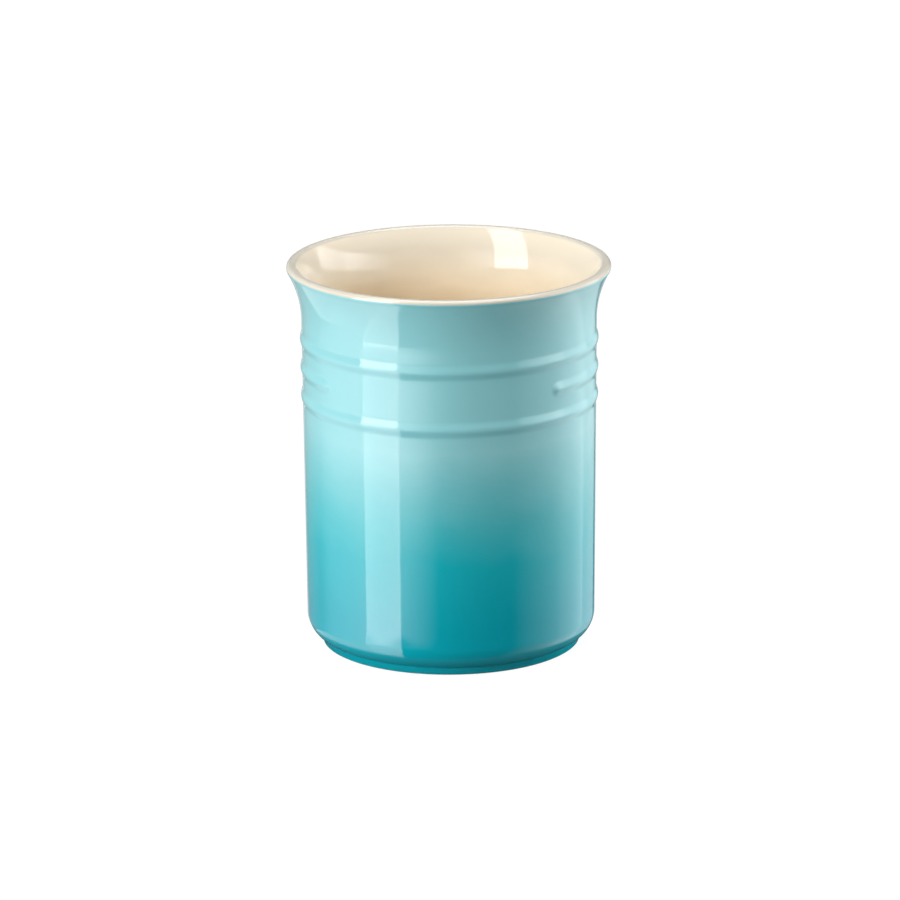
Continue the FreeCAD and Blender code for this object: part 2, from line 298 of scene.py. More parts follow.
class GlazeColours(bpy.types.PropertyGroup):
    """Colours of the glazes and the clay."""

    pale: colour("Pale turquoise", "Outer glaze above the fade", (0.275, 0.625, 0.662))
    turquoise: colour("Turquoise", "Outer glaze high in the fade", (0.165, 0.545, 0.587))
    sea_green: colour("Sea green", "Outer glaze half-way down the fade", (0.065, 0.478, 0.530))
    teal: colour("Teal", "Outer glaze low in the fade", (0.008, 0.423, 0.490))
    deep: colour("Deep teal", "Outer glaze at the foot", (0.001, 0.362, 0.445))
    cream: colour("Cream", "Inner glaze of the flare", (0.735, 0.67, 0.55))
    # Honey is lighter than the cream above it: painted light on the inner wall below the flare
    honey: colour("Honey", "Inner glaze below the flare", (0.95, 0.85, 0.66))
    # Tan is painted shade deep in the pot
    tan: colour("Tan", "Inner glaze deep in the pot", (0.78, 0.60, 0.37))
    # Painted shade on the crown of the lip, which faces the sheet above: greyer and darker than the cream
    lip_shade: colour("Thin cream", "Inner glaze where it thins over the lip", (0.55, 0.52, 0.45))
    clay: colour("Clay", "Bare fired clay", (0.62, 0.50, 0.36))


class StudioSettings(bpy.types.PropertyGroup):
    """Lamps, stage and camera."""

    view_azimuth: angle("View azimuth", "Camera turn away from the front", 5)
    view_elevation: angle("View elevation", "Camera height above the horizon", 15.63)
    view_roll: angle("View roll", "Camera roll about its own axis", -0.398)
    view_distance: length("View distance", "Camera to the point it looks at", 2.4243)
    view_height: length("View height", "Height of the point that the camera looks at", 0.0753)
    lens: level("Lens", "Focal length in millimetres", 251.7)
    key: level("Key", "Radiance of the lower half of the tall softbox on the left", 3.5)
    key_high: level("Key high", "Radiance of the upper half of that softbox", 2.9)
    key_top: level("Key top", "Radiance of the dim upper end of that softbox", 1.2)
    key_card: level("Key card", "Radiance of the card before the lower half of that softbox", 4.3)
    high_card: level("High card", "Radiance of the card before its upper half", 6.2)
    top_card: level("Top card", "Radiance of the card before its upper end", 5.0)
    apron: level("Apron", "Radiance of the curved card below that softbox", 4.4)
    wing: level("Wing", "Radiance of the soft edge of that softbox", 2.6)
    wing_card: level("Wing card", "Radiance of the card before that soft edge", 2.4)
    front: level("Front", "Radiance of the lamp high up on the left of the camera", 4.0)
    left_card: level("Left card", "Radiance of the card before the dim wall on the left", 2.15)
    left: level("Left", "Radiance of the dim wall on the left", 1.0)
    left_foot: level("Left foot", "Radiance of the ground below that wall", 3.2)
    left_base: level("Left base", "Radiance of the card below that ground", 3.2)
    fill: level("Fill", "Radiance of the dim wall on the left behind the pot", 0.5)
    fill_card: level("Fill card", "Radiance of the card below that wall", 1.4)
    side: level("Side", "Radiance of the card on the right", 5.0)
    side_foot: level("Side foot", "Radiance of the dim panel below that card", 1.6)
    side_card: level("Side card", "Radiance of the card below that panel", 1.2)
    flank: level("Flank", "Radiance of the lamp on the right that the gloss doesn't show", 4.6)
    rim: level("Rim", "Radiance of the softbox on the right behind the pot", 3.0)
    rim_foot: level("Rim foot", "Radiance of the dim lower end of that softbox", 2.15)
    rim_card: level("Rim card", "Radiance of the card below that end", 1.6)
    edge_foot: level("Edge foot", "Radiance of the dim panel next to that softbox", 1.7)
    edge_card: level("Edge card", "Radiance of the card below that panel", 1.4)
    far_card: level("Far card", "Radiance of the card low behind the pot", 0.9)
    back_card: level("Back card", "Radiance of the card behind the pot, which its edges show", 0.4)
    overhead: level("Overhead", "Radiance of the sheet above the pot", 4.4)
    ambient: level("Ambient", "Radiance of the surroundings", 0.02)
    mirrored: level("Mirrored", "Radiance of the white background as the gloss shows it", 0.03)


def find(sockets, key):
    """A socket by its place, or the first one in use with that name."""
    if isinstance(key, int):
        return sockets[key]
    return next(socket for socket in sockets if socket.enabled and socket.name == key)


class Wire:
    """An output of a node. Arithmetic on wires adds the nodes that work it out."""

    def __init__(self, graph, socket):
        self.graph = graph
        self.socket = socket

    def out(self, key):
        """Another output of the same node."""
        return Wire(self.graph, find(self.socket.node.outputs, key))

    def __add__(self, other):
        return self.graph.maths("ADD", self, other)

    def __sub__(self, other):
        return self.graph.maths("SUBTRACT", self, other)

    def __rsub__(self, other):
        return self.graph.maths("SUBTRACT", other, self)

    def __mul__(self, other):
        return self.graph.maths("MULTIPLY", self, other)

    def __rmul__(self, other):
        return self.graph.maths("MULTIPLY", other, self)

    def __truediv__(self, other):
        return self.graph.maths("DIVIDE", self, other)

    def __abs__(self):
        return self.graph.maths("ABSOLUTE", self)


class Graph:
    """A node tree that is written as expressions."""

    def __init__(self, tree):
        self.tree = tree
        tree.nodes.clear()

    def add(self, kind, settings=None, sockets=None):
        """A node with these settings and these values or wires in its sockets. Gives its first output."""
        node = self.tree.nodes.new(kind)
        for name, value in (settings or {}).items():
            if name == "stops":
                set_stops(node.color_ramp, value)
            else:
                setattr(node, name, value)
        for key, value in (sockets or {}).items():
            target = find(node.inputs, key)
            if isinstance(value, Wire):
                self.tree.links.new(value.socket, target)
            else:
                target.default_value = value
        shown = [socket for socket in node.outputs if socket.enabled]
        return Wire(self, shown[0]) if shown else None

    def maths(self, operation, *values):
        """A Math node on these values."""
        return self.add("ShaderNodeMath", {"operation": operation}, dict(enumerate(values)))

    def mix(self, share, first, second):
        """A colour between two colours or wires."""
        return self.add(
            "ShaderNodeMix", {"data_type": "RGBA"}, {"Factor": share, "A": rgba(first), "B": rgba(second)}
        )

    def noise(self, place, scale, detail=2.0):
        """Soft clouds from 0 to 1 with this many to the metre."""
        sockets = {"Vector": place, "Scale": scale, "Detail": detail}
        return self.add("ShaderNodeTexNoise", None, sockets).out("Fac")

    def spread(self, value, low, high):
        """0 below the low value, 1 above the high one and smooth between."""
        limits = {"Value": value, "From Min": low, "From Max": high}
        return self.add("ShaderNodeMapRange", {"interpolation_type": "SMOOTHSTEP"}, limits)


def rgba(value):
    """A colour with its alpha. A wire stays as it is."""
    return value if isinstance(value, Wire) else (*value, 1.0)


def set_stops(ramp, stops):
    """Give a ramp these places and colours, with straight joins between them."""
    ramp.interpolation = "LINEAR"
    while len(ramp.elements) < len(stops):
        ramp.elements.new(1.0)
    for element, (place, shade) in zip(ramp.elements, stops):
        element.position = place
        element.color = rgba(shade)


class Pen:
    """Draws a section as points, radius and height: straight runs, and arcs of less than a half turn."""

    def __init__(self, start, sag):
        self.points = [Vector(start)]
        self.sag = sag

    def line(self, end, step=None):
        """A straight run in steps of about this length, or in one."""
        start, end = self.points[-1], Vector(end)
        parts = max(1, round((end - start).length / step)) if step else 1
        self.points += [start.lerp(end, part / parts) for part in range(1, parts + 1)]

    def arc(self, centre, end):
        """An arc about a centre, in chords that stray no further from it than the sag."""
        centre, spoke = Vector(centre), self.points[-1] - Vector(centre)
        sweep = spoke.angle_signed(Vector(end) - centre)
        parts = math.ceil(abs(sweep) / (2 * math.acos(1 - self.sag / spoke.length)))
        for part in range(1, parts + 1):
            turn = -sweep * part / parts
            self.points.append(centre + Vector((
                spoke.x * math.cos(turn) - spoke.y * math.sin(turn),
                spoke.x * math.sin(turn) + spoke.y * math.cos(turn),
            )))


class Form:
    """The section of the glazed pot, and of the clay a given depth under its surface."""

    def __init__(self, sizes):
        self.sizes = sizes
        rim_radius = sizes.rim_diameter / 2
        self.neck = Vector((rim_radius - sizes.flare_overhang, sizes.height - sizes.flare_height))
        corner_rise = sizes.corner_radius * math.sin(sizes.corner_sweep)
        self.base = Vector((self.neck.x - sizes.wall_draft, sizes.foot_height + corner_rise))
        corner_reach = sizes.corner_radius * (1 - math.cos(sizes.corner_sweep))
        self.foot = self.base.x - corner_reach - sizes.foot_ledge
        self.outward = across(self.neck - self.base)
        lip_height = sizes.height - sizes.lip_edge_radius
        self.lip_outer = Vector((rim_radius - sizes.lip_edge_radius, lip_height))
        inner_edge = self.lip_outer.x - sizes.lip_thickness + 2 * sizes.lip_edge_radius
        self.lip_inner = Vector((inner_edge, lip_height))
        self.inner_neck = Vector((self.neck.x - sizes.wall_thickness, self.neck.y))
        corner_top = sizes.floor_height + sizes.inside_corner_radius
        self.inner_base = Vector((self.base.x - sizes.wall_thickness, corner_top))
        self.top_crest = self.neck.y - sizes.band_drop

    def on_wall(self, height, skin):
        """A point of the outer wall."""
        share = (height - self.base.y) / (self.neck.y - self.base.y)
        return self.base.lerp(self.neck, share) - self.outward * skin

    def draw_outside(self, pen, skin, step):
        """From the foot ring up to the line where the glazes meet on the lip."""
        sizes = self.sizes
        hollow = Vector((self.foot + sizes.foot_fillet, sizes.foot_height - sizes.foot_fillet))
        pen.line((self.foot - skin, hollow.y))
        pen.arc(hollow, (hollow.x, sizes.foot_height + skin))
        corner = self.base - self.outward * sizes.corner_radius
        ledge = sizes.foot_height + skin
        reach = math.sqrt((sizes.corner_radius - skin) ** 2 - (corner.y - ledge) ** 2)
        pen.line((corner.x + reach, ledge))
        pen.arc(corner, self.base - self.outward * skin)
        lowest = self.top_crest - (BAND_COUNT - 1) * sizes.band_pitch - sizes.band_width
        pen.line(self.on_wall(lowest, skin), sizes.corner_radius)
        pen.line(self.on_wall(self.top_crest + sizes.band_width, skin), step)
        start = self.neck - self.outward * skin
        pen.line(start)
        edge = sizes.lip_edge_radius - skin
        span = self.lip_outer - start
        bend = (span.length_squared - edge ** 2) / (2 * (edge + span.dot(self.outward)))
        centre = start + self.outward * bend
        pen.arc(centre, self.lip_outer + (centre - self.lip_outer).normalized() * edge)
        reach = math.sqrt(edge ** 2 - (sizes.colour_line - self.lip_outer.y) ** 2)
        pen.arc(self.lip_outer, (self.lip_outer.x + reach, sizes.colour_line))

    def draw_inside(self, pen, skin, step):
        """From the line where the glazes meet over the lip, down the wall and across the floor."""
        sizes = self.sizes
        edge = sizes.lip_edge_radius - skin
        pen.arc(self.lip_outer, (self.lip_outer.x, self.lip_outer.y + edge))
        pen.line((self.lip_inner.x, self.lip_inner.y + edge))
        outward = across(self.inner_neck - self.inner_base)
        neck = self.inner_neck + outward * skin
        span = self.lip_inner - neck
        bend = (span.length_squared - edge ** 2) / (2 * (span.dot(outward) - edge))
        centre = neck + outward * bend
        pen.arc(self.lip_inner, self.lip_inner + (self.lip_inner - centre).normalized() * edge)
        pen.arc(centre, neck)
        base = self.inner_base + outward * skin
        pen.line(base, step)
        bend = (base.y - sizes.floor_height + skin) / (1 + outward.y)
        centre = base - outward * bend
        pen.arc(centre, (centre.x, sizes.floor_height - skin))
        pen.line((0, sizes.floor_height - skin), step)

    def draw_recess(self, pen, skin):
        """From the middle of the underside into the rounded corner of its hollow and down its wall."""
        sizes = self.sizes
        fillet = sizes.recess_fillet
        pen.line((sizes.recess_radius - fillet, sizes.recess_depth + skin))
        turn = (sizes.recess_radius - fillet, sizes.recess_depth - fillet)
        pen.arc(turn, (sizes.recess_radius + skin, turn[1]))


def across(direction):
    """The unit normal on the outer side of an upward direction."""
    return Vector((direction.y, -direction.x)).normalized()


def closed(shown, hidden):
    """A closed loop: the side that shows, then the side on the clay the other way."""
    return shown + hidden[::-1] + shown[:1]


def outer_loop(form):
    """Section of the outer glaze. Its lower edge is rounded off above the bare foot."""
    sizes = form.sizes
    edge = Vector((form.foot - GLAZE / 2, sizes.bare_height + GLAZE / 2))
    shown = Pen((form.foot - GLAZE, edge.y), SHOWN_SAG)
    shown.arc(edge, (edge.x, sizes.bare_height))
    shown.arc(edge, (form.foot, edge.y))
    form.draw_outside(shown, 0, sizes.band_step)
    hidden = Pen((form.foot - GLAZE, edge.y), HIDDEN_SAG)
    form.draw_outside(hidden, GLAZE, sizes.band_width / HIDDEN_BAND_ROWS)
    return closed(shown.points, hidden.points[1:])


def inner_loop(form):
    """Section of the inner glaze: up on the clay from the middle of the floor, over the lip and down."""
    sizes = form.sizes
    rise = sizes.colour_line - form.lip_outer.y
    sides = []
    for skin, sag in ((0, SHOWN_SAG), (LINING, HIDDEN_SAG)):
        reach = math.sqrt((sizes.lip_edge_radius - skin) ** 2 - rise ** 2)
        pen = Pen((form.lip_outer.x + reach, sizes.colour_line), sag)
        form.draw_inside(pen, skin, sizes.inside_corner_radius)
        sides.append(pen.points)
    return sides[1][::-1] + sides[0]


def under_loop(form):
    """Section of the glaze in the hollow under the pot, with a rounded lower edge."""
    sizes = form.sizes
    edge = Vector((sizes.recess_radius + GLAZE / 2, sizes.bare_height + GLAZE / 2))
    shown = Pen((0, sizes.recess_depth), SHOWN_SAG)
    form.draw_recess(shown, 0)
    shown.line((sizes.recess_radius, edge.y))
    shown.arc(edge, (edge.x, sizes.bare_height))
    shown.arc(edge, (sizes.recess_radius + GLAZE, edge.y))
    hidden = Pen((0, sizes.recess_depth + GLAZE), HIDDEN_SAG)
    form.draw_recess(hidden, GLAZE)
    return shown.points + hidden.points[::-1]


def new_tree(name, inputs):
    """A Geometry Nodes tree with named inputs, and its inputs as wires."""
    tree = bpy.data.node_groups.new(name, "GeometryNodeTree")
    graph = Graph(tree)
    for title, kind in inputs:
        tree.interface.new_socket(title, in_out="INPUT", socket_type=f"NodeSocket{kind}")
    tree.interface.new_socket("Geometry", in_out="OUTPUT", socket_type="NodeSocketGeometry")
    entry = graph.add("NodeGroupInput")
    return graph, {title: entry.out(title) for title, _ in inputs}


def turn_section(graph, section, segments):
    """A grid of faces with the section's points along one side, wrapped around the axis of the pot."""
    columns = segments + 1
    rows = graph.add("GeometryNodeAttributeDomainSize", None, {"Geometry": section}).out("Point Count")
    grid = graph.add("GeometryNodeMeshGrid", None, {"Vertices X": rows, "Vertices Y": columns})
    index = graph.add("GeometryNodeInputIndex")
    row = graph.maths("FLOOR", (index + 0.5) / columns)
    turn = math.pi - (index - row * columns) / segments * math.tau
    sample = {"Geometry": section, "Value": graph.add("GeometryNodeInputPosition"), "Index": row}
    point = graph.add("GeometryNodeSampleIndex", {"data_type": "FLOAT_VECTOR"}, sample)
    spot = graph.add("ShaderNodeSeparateXYZ", None, {"Vector": point})
    return grid, turn, spot.out("X"), spot.out("Z")


def raise_bands(graph, turn, height, inputs):
    """The lift of the bands, from 0 at a root to 1 on a crest, and how steep they are under a crest, where
    the glaze gets painted shade.
    """
    into_gap = (inputs["Gap"] / 2 - abs(turn)) * inputs["Wall Radius"]
    into_gap = graph.maths("MAXIMUM", into_gap, 0.0)
    relief = pool = 0.0
    for band in range(BAND_COUNT):
        above = height - (inputs["Top Crest"] - band * inputs["Pitch"])
        away = above * above
        if band == OPEN_BAND:
            away = away + into_gap * into_gap
        away = graph.maths("SQRT", away)
        share = graph.maths("MINIMUM", away / inputs["Reach"], 1.0)
        wave = graph.maths("COSINE", share * math.pi)
        slope = graph.maths("SINE", share * math.pi)
        under = graph.maths("LESS_THAN", above, 0.0)
        relief = (wave + 1) / 2 + relief
        pool = slope * under + pool
    return relief, pool


def coat_tree(name, banded):
    """Geometry Nodes that turn a section into a closed coat, with or without the raised bands."""
    inputs = [("Section", "Geometry"), ("Segments", "Int"), ("Glaze", "Material")]
    if banded:
        inputs += [(title, "Float") for title in BAND_INPUTS]
    graph, given = new_tree(name, inputs)
    mesh, turn, radius, height = turn_section(graph, given["Section"], given["Segments"])
    if banded:
        relief, pool = raise_bands(graph, turn, height, given)
        radius = radius + relief * given["Rise"]
        # The steepness under the crests is kept for the painted shade that the outer glaze puts there
        layer = {"data_type": "FLOAT", "domain": "POINT"}
        stored = {"Geometry": mesh, "Name": "pool", "Value": pool}
        mesh = graph.add("GeometryNodeStoreNamedAttribute", layer, stored)
    sideways = radius * graph.maths("SINE", turn)
    forwards = radius * graph.maths("COSINE", turn)
    place = graph.add("ShaderNodeCombineXYZ", None, {"X": sideways, "Y": forwards * -1, "Z": height})
    mesh = graph.add("GeometryNodeSetPosition", None, {"Geometry": mesh, "Position": place})
    mesh = graph.add("GeometryNodeMergeByDistance", None, {"Geometry": mesh, "Distance": MERGE_DISTANCE})
    smooth = {"Geometry": mesh, "Shade Smooth": True}
    mesh = graph.add("GeometryNodeSetShadeSmooth", {"domain": "FACE"}, smooth)
    bend = graph.add("GeometryNodeInputMeshEdgeAngle")
    sharp = graph.maths("GREATER_THAN", bend, SHARP_EDGE)
    crease = {"Geometry": mesh, "Selection": sharp, "Shade Smooth": False}
    mesh = graph.add("GeometryNodeSetShadeSmooth", {"domain": "EDGE"}, crease)
    mesh = graph.add("GeometryNodeRealizeInstances", None, {"Geometry": mesh})
    mesh = graph.add("GeometryNodeSetMaterial", None, {"Geometry": mesh, "Material": given["Glaze"]})
    graph.add("NodeGroupOutput", None, {"Geometry": mesh})
    return graph.tree


def make_coat(context, name, loop, tree, values):
    """Turn a section into a plain mesh object."""
    mesh = bpy.data.meshes.new(name)
    mesh.from_pydata([(point.x, 0.0, point.y) for point in loop], [], [])
    coat = bpy.data.objects.new(name, mesh)
    context.scene.collection.objects.link(coat)
    turned = coat.modifiers.new("turned", "NODES")
    turned.node_group = tree
    keys = {item.name: item.identifier for item in tree.interface.items_tree if item.in_out == "INPUT"}
    for title, value in values.items():
        turned[keys[title]] = value
    depsgraph = context.evaluated_depsgraph_get()
    result = bpy.data.meshes.new_from_object(coat.evaluated_get(depsgraph), depsgraph=depsgraph)
    coat.modifiers.remove(turned)
    coat.data = result
    bpy.data.meshes.remove(mesh)
    result.name = name
    # The grid brings an empty material slot
    while result.materials[0] is None:
        result.materials.pop(index=0)
    if not result.polygons:
        raise RuntimeError(f"{name} has no faces")
    return coat


def seat_coat(coat, node):
    """Let a coat ride on the pot in place of its plain solid."""
    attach(coat, BODY)
    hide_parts(node)


def new_material(name):
    """A material, its graph and the place of a point on the pot."""
    material = bpy.data.materials.new(name)
    material.use_nodes = True
    graph = Graph(material.node_tree)
    return material, graph, graph.add("ShaderNodeTexCoord").out("Object")


def finish_material(graph, sockets):
    """Join a surface with these sockets to the output."""
    surface = graph.add("ShaderNodeBsdfPrincipled", None, sockets)
    graph.add("ShaderNodeOutputMaterial", None, {"Surface": surface})


def bump_map(graph, height, strength, depth):
    """A normal that follows this height."""
    return graph.add("ShaderNodeBump", None, {"Strength": strength, "Distance": depth, "Height": height})


def finish_glaze(graph, place, tone, roughness):
    """Fired glass of this colour and least roughness, with faint waves and smears."""
    bump = bump_map(graph, graph.noise(place, WAVES, detail=1.0), WAVE_STRENGTH, WAVE_DEPTH)
    rough = graph.noise(place, SMEARS) * SMEAR_ROUGHNESS + roughness
    finish_material(graph, {"Base Color": tone, "Roughness": rough, "IOR": GLAZE_IOR, "Normal": bump})


def cloudy_height(graph, place, clouds, drift):
    """The height of a point, and that height shifted up and down by soft clouds."""
    height = graph.add("ShaderNodeSeparateXYZ", None, {"Vector": place}).out("Z")
    return height, (graph.noise(place, clouds, detail=3.0) - 0.5) * drift + height


def graded_tone(graph, height, low, high, stops):
    """The colours of these stops, spread between two heights."""
    share = graph.add("ShaderNodeMapRange", None, {"Value": height, "From Min": low, "From Max": high})
    return graph.add("ShaderNodeValToRGB", {"stops": stops}, {"Fac": share})


def under_crown(sizes, depths):
    """The heights at these depths under the crown of the lip."""
    return [sizes.height - depth for depth in depths]


def turquoise_glaze(sizes, colours):
    """Gloss glaze: pale below the lip and deep teal at the foot, with painted shade under the crests of
    the bands and on the rounding under the lip, and at its top the cream of the inner glaze, dimmed as
    painted shade.
    """
    material, graph, place = new_material("turquoise_gloss")
    height, drift = cloudy_height(graph, place, OUTER_CLOUDS, FADE_DRIFT)
    tones = colours.deep, colours.teal, colours.sea_green, colours.turquoise, colours.pale
    tone = graded_tone(graph, drift, FADE_LOW, FADE_HIGH, list(zip(FADE_STOPS, tones)))
    # Painted shade: deep teal on the slopes under the crests of the bands
    pool = graph.add("ShaderNodeAttribute", {"attribute_name": "pool"}).out("Fac")
    tone = graph.mix(pool * CREST_SHADE_SHARE, tone, colours.deep)
    # Painted shade: the rounding under the lip, lit strongly from above, deepens towards teal
    roll = graph.spread(height, *under_crown(sizes, SHADED_ROLL_DEPTHS))
    tone = graph.mix(roll * ROLL_SHADE_SHARE, tone, colours.teal)
    # The cream of the inner glaze where it laps over the top, dimmed as painted shade
    crown = graph.spread(height, *under_crown(sizes, CROWN_DEPTHS))
    tone = graph.mix(crown, tone, [CROWN_SHADE * part for part in colours.cream])
    finish_glaze(graph, place, tone, OUTER_ROUGHNESS)
    return material


def cream_glaze(sizes, colours):
    """Gloss glaze: cream, with painted light below the flare and painted shade deep inside and over the
    crown of the lip.
    """
    material, graph, place = new_material("cream_gloss")
    height, drift = cloudy_height(graph, place, INNER_CLOUDS, INSIDE_DRIFT)
    tones = colours.tan, colours.honey, colours.cream
    # Painted shade and light: tan deep down, a lighter honey below the flare, cream in the flare
    low, high = under_crown(sizes, INSIDE_DEPTHS)
    tone = graded_tone(graph, drift, low, high, list(zip(INSIDE_STOPS, tones)))
    # Painted shade over the crown of the lip
    lip = graph.spread(height, *under_crown(sizes, LIP_SHADE_DEPTHS))
    tone = graph.mix(lip, tone, colours.lip_shade)
    finish_glaze(graph, place, tone, INNER_ROUGHNESS)
    return material


def bare_clay(colours):
    """Matt fired clay with fine grain and dark iron specks."""
    material, graph, place = new_material("bare_clay")
    grain = graph.noise(place, GRAINS, detail=4.0)
    blotch = graph.noise(place, BLOTCHES, detail=3.0)
    tone = graph.mix(blotch, [BLOTCH_TINT * part for part in colours.clay], colours.clay)
    speck = graph.spread(graph.noise(place, SPECKS, detail=1.0), *SPECK_LIMITS)
    tone = graph.mix(speck * SPECK_SHARE, tone, IRON)
    bump = bump_map(graph, grain, GRAIN_STRENGTH, GRAIN_DEPTH)
    rough = grain * GRAIN_ROUGHNESS + CLAY_ROUGHNESS
    finish_material(graph, {"Base Color": tone, "Roughness": rough, "IOR": CLAY_IOR, "Normal": bump})
    return material


def shared_material(name, make, *values):
    """A material by name, made the first time that it is asked for."""
    return bpy.data.materials.get(name) or make(*values)


class CROCK_OT_stoneware(bpy.types.Operator):
    """Give the clay pot, which shows at its foot, the look of bare fired clay"""

    bl_idname = "crock.stoneware"
    bl_label = "Stoneware"

    def execute(self, context):
        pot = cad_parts["stoneware_body"]
        pot.data.materials.clear()
        pot.data.materials.append(bare_clay(context.scene.glaze_colours))
        return {"FINISHED"}


class CROCK_OT_outer_glaze(bpy.types.Operator):
    """Turn the outer glaze with its raised bands"""

    bl_idname = "crock.outer_glaze"
    bl_label = "Outer Glaze"

    def execute(self, context):
        sizes, colours = context.scene.crock_sizes, context.scene.glaze_colours
        form = Form(sizes)
        values = {
            "Segments": sizes.segments,
            "Glaze": shared_material("turquoise_gloss", turquoise_glaze, sizes, colours),
            "Rise": sizes.band_rise,
            "Reach": sizes.band_width / 2,
            "Top Crest": form.top_crest,
            "Pitch": sizes.band_pitch,
            "Gap": sizes.band_gap,
            "Wall Radius": form.on_wall(form.top_crest - OPEN_BAND * sizes.band_pitch, 0).x,
        }
        coat = make_coat(context, "outer_coat", outer_loop(form), coat_tree("banded_coat", True), values)
        seat_coat(coat, "outer_glaze")
        return {"FINISHED"}


class CROCK_OT_plain_glazes(bpy.types.Operator):
    """Turn the two glazes without bands: inside the pot and in the hollow under it"""

    bl_idname = "crock.plain_glazes"
    bl_label = "Inner and Underside Glaze"

    def execute(self, context):
        sizes, colours = context.scene.crock_sizes, context.scene.glaze_colours
        form = Form(sizes)
        tree = coat_tree("plain_coat", False)
        cream = shared_material("cream_gloss", cream_glaze, sizes, colours)
        turquoise = shared_material("turquoise_gloss", turquoise_glaze, sizes, colours)
        coats = (
            ("inner_coat", inner_loop, "inner_glaze", "cream_glaze", cream),
            ("underside_coat", under_loop, "underside_glaze", "turquoise_glaze", turquoise),
        )
        for name, loop, node, slot, material in coats:
            values = {"Segments": sizes.segments, "Glaze": material}
            seat_coat(make_coat(context, name, loop(form), tree, values), node)
        return {"FINISHED"}


def add_softbox(context, name, place, aim, size, radiance, shares=EVEN):
    """A rectangular lamp that faces a point, with shares of its radiance at its sides and ends."""
    first, last, bottom, top = shares
    data = bpy.data.lights.new(name, "AREA")
    data.shape = "RECTANGLE"
    data.size, data.size_y = size
    data.energy = radiance * math.pi * size[0] * size[1]
    data.use_nodes = True
    graph = Graph(data.node_tree)
    spot = graph.add("ShaderNodeNewGeometry").out("Parametric")
    spot = graph.add("ShaderNodeSeparateXYZ", None, {"Vector": spot})
    share = (spot.out("X") * (last - first) + first) * (spot.out("Y") * (top - bottom) + bottom)
    light = graph.add("ShaderNodeEmission", None, {"Color": share, "Strength": 1.0})
    graph.add("ShaderNodeOutputLight", None, {"Surface": light})
    lamp = bpy.data.objects.new(name, data)
    lamp.visible_camera = False
    lamp.location = place
    lamp.rotation_euler = (Vector(aim) - Vector(place)).to_track_quat("-Z", "Y").to_euler()
    context.scene.collection.objects.link(lamp)
    return lamp


def around(azimuth, distance, height):
    """A place around the pot: azimuth 0 is the front and a quarter turn is its right-hand side."""
    return Vector((math.sin(azimuth) * distance, -math.cos(azimuth) * distance, height))


def add_sheet(context, name, corners, material):
    """A flat stage piece with these corners."""
    mesh = bpy.data.meshes.new(name)
    mesh.from_pydata(corners, [], [list(range(len(corners)))])
    sheet = bpy.data.objects.new(name, mesh)
    mesh.materials.append(material)
    context.scene.collection.objects.link(sheet)


def shown_white(graph, mirrored):
    """1 where the camera or a clear surface looks, and the mirrored share where a gloss does."""
    ray = graph.add("ShaderNodeLightPath")
    return ray.out("Is Camera Ray") + ray.out("Is Transmission Ray") + ray.out("Is Glossy Ray") * mirrored


def floor_white(mirrored):
    """A white floor that keeps the pot's shadow. It fades out around the pot and is clear under it.

    It is clear from below too, so that the underside can be seen.
    """
    material, graph, place = new_material("floor_white")
    shown = shown_white(graph, mirrored)
    lit = graph.add("ShaderNodeBsdfDiffuse", None, {"Color": rgba([FLOOR_GREY] * 3)})
    light = graph.add("ShaderNodeEmission", None, {"Color": shown * FLOOR_GLOW, "Strength": 1.0})
    surface = graph.add("ShaderNodeAddShader", None, {0: lit, 1: light})
    away = graph.add("ShaderNodeVectorMath", {"operation": "LENGTH"}, {0: place}).out("Value")
    under = graph.add("ShaderNodeNewGeometry").out("Backfacing")
    beyond = graph.spread(away, *FLOOR_OUTER) + 1.0 - graph.spread(away, *FLOOR_INNER)
    clear = graph.maths("MAXIMUM", beyond, under)
    gone = graph.add("ShaderNodeBsdfTransparent")
    surface = graph.add("ShaderNodeMixShader", None, {0: clear, 1: surface, 2: gone})
    graph.add("ShaderNodeOutputMaterial", None, {"Surface": surface})
    return material


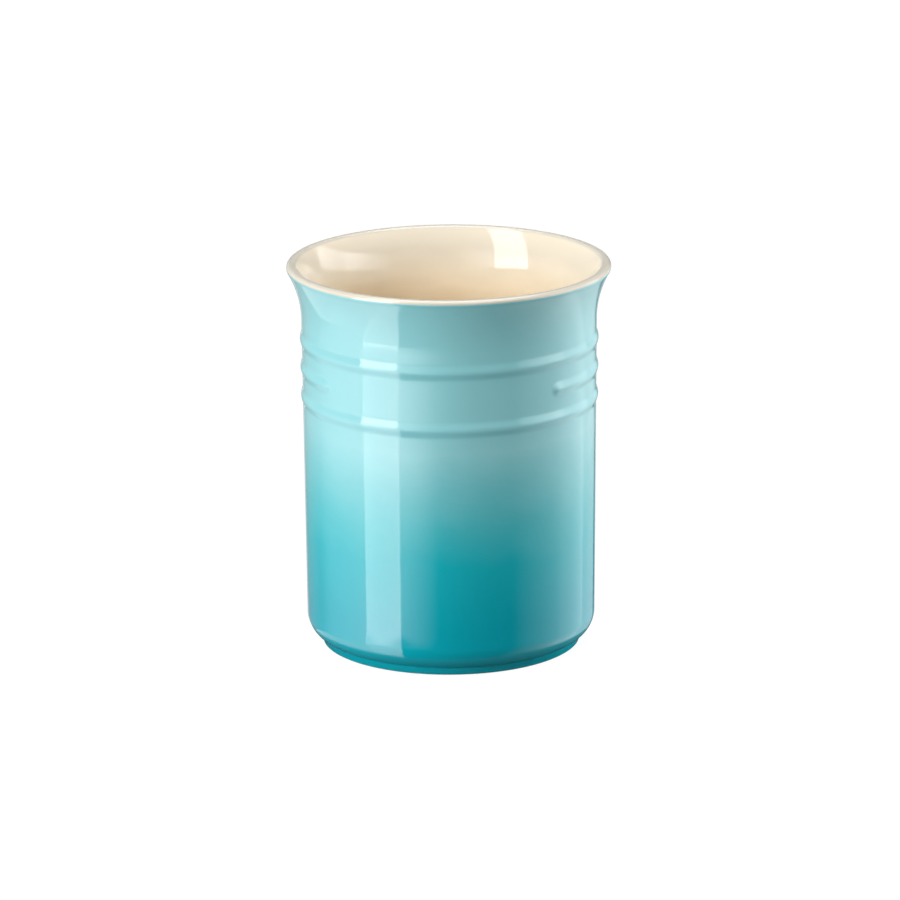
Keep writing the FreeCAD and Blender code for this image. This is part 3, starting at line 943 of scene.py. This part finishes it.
class CROCK_OT_stage(bpy.types.Operator):
    """Set up the camera, the floor, the white background and the lamps"""

    bl_idname = "crock.stage"
    bl_label = "Studio"

    def execute(self, context):
        studio = context.scene.studio
        self.add_camera(context, studio)
        self.add_floor(context, studio)
        self.add_surround(context, studio)
        self.add_lamps(context, studio)
        self.add_apron(context, studio)
        context.scene.view_settings.view_transform = "Standard"
        return {"FINISHED"}

    def add_camera(self, context, studio):
        """A long lens from above the front."""
        data = bpy.data.cameras.new("camera")
        data.lens = studio.lens
        data.clip_end = CAMERA_REACH
        camera = bpy.data.objects.new("camera", data)
        reach = studio.view_distance * math.cos(studio.view_elevation)
        rise = studio.view_distance * math.sin(studio.view_elevation)
        camera.location = around(studio.view_azimuth, reach, studio.view_height + rise)
        aim = Vector((0, 0, studio.view_height)) - camera.location
        camera.rotation_mode = "QUATERNION"
        roll = Quaternion((0, 0, 1), studio.view_roll)
        camera.rotation_quaternion = aim.to_track_quat("-Z", "Y") @ roll
        context.scene.collection.objects.link(camera)
        context.scene.camera = camera

    def add_floor(self, context, studio):
        """A round white floor that fades out around the pot."""
        turns = [math.tau * corner / FLOOR_CORNERS for corner in range(FLOOR_CORNERS)]
        ring = [(FLOOR_RADIUS * math.cos(turn), FLOOR_RADIUS * math.sin(turn), 0.0) for turn in turns]
        add_sheet(context, "floor", ring, floor_white(studio.mirrored * FLOOR_MIRRORED))

    def add_surround(self, context, studio):
        """A white background and a faint light from all around."""
        world = bpy.data.worlds.new("surround")
        world.use_nodes = True
        graph = Graph(world.node_tree)
        shown = shown_white(graph, studio.mirrored)
        shade = shown + studio.ambient
        light = graph.add("ShaderNodeBackground", None, {"Color": shade, "Strength": 1.0})
        graph.add("ShaderNodeOutputWorld", None, {"Surface": light})
        context.scene.world = world

    def add_lamps(self, context, studio):
        """Upright lamps and cards around the pot, and a sheet above it."""
        for box in SOFTBOXES:
            middle = (box.low + box.high) / 2
            place = around(studio.view_azimuth + math.radians(box.degrees), box.distance, middle)
            size = (box.width, box.high - box.low)
            shares = (box.first, box.last, box.bottom, box.top)
            radiance = getattr(studio, box.name)
            lamp = add_softbox(context, box.name, place, (0, 0, middle), size, radiance, shares)
            lamp.visible_diffuse = not box.card
            lamp.visible_glossy = not box.flagged
        add_softbox(context, "overhead", OVERHEAD_PLACE, (0, 0, 0), OVERHEAD_SIZE, studio.overhead)

    def add_apron(self, context, studio):
        """A card in slices that draws the reflection of the key softbox on over the flare and the corner.

        A slope of the glaze shows the ground at twice its angle, and further round the pot the steeper
        it is.
        """
        for part in range(APRON_SLICES):
            upper = APRON_STEEPEST * part / APRON_SLICES
            lower = APRON_STEEPEST * (part + 1) / APRON_SLICES
            high = -MID * math.tan(APRON_START + 2 * upper)
            low = -MID * math.tan(APRON_START + 2 * lower)
            slope = (upper + lower) / 2
            right = APRON_RIGHT - APRON_DRAW_IN * slope ** 2
            middle = (low + high) / 2
            place = around(studio.view_azimuth + (APRON_LEFT + right) / 2, MID, middle)
            size = (2 * MID * math.tan((right - APRON_LEFT) / 2), high - low)
            radiance = studio.apron * (1 - APRON_DIMMING * min(1, part / APRON_DIMMED_SLICES))
            lamp = add_softbox(context, f"apron_{part}", place, (0, 0, middle), size, radiance)
            lamp.visible_diffuse = False


class CROCK_PT_builder(bpy.types.Panel):
    """Sizes, colours and building steps of the crock"""

    bl_label = "Utensil Crock"
    bl_space_type = "VIEW_3D"
    bl_region_type = "UI"
    bl_category = "Crock"

    def draw(self, context):
        scene = context.scene
        for step in STEPS:
            self.layout.operator(step.bl_idname)
        for group in (scene.crock_sizes, scene.glaze_colours, scene.studio):
            column = self.layout.column(heading=group.bl_rna.description)
            for key in group.__annotations__:
                column.prop(group, key)


STEPS = (CROCK_OT_stoneware, CROCK_OT_outer_glaze, CROCK_OT_plain_glazes, CROCK_OT_stage)
GROUPS = {"crock_sizes": CrockSizes, "glaze_colours": GlazeColours, "studio": StudioSettings}
CLASSES = (*GROUPS.values(), *STEPS, CROCK_PT_builder)


def register():
    """Make the settings, the steps and the panel known."""
    for item in CLASSES:
        bpy.utils.register_class(item)
    for name, group in GROUPS.items():
        setattr(bpy.types.Scene, name, PointerProperty(type=group))


def unregister():
    """Take them away again."""
    for name in GROUPS:
        delattr(bpy.types.Scene, name)
    for item in reversed(CLASSES):
        bpy.utils.unregister_class(item)


def main():
    """Build the crock and its studio."""
    register()
    bpy.ops.crock.stoneware()
    bpy.ops.crock.outer_glaze()
    bpy.ops.crock.plain_glazes()
    bpy.ops.crock.stage()


if __name__ == "__main__":
    main()
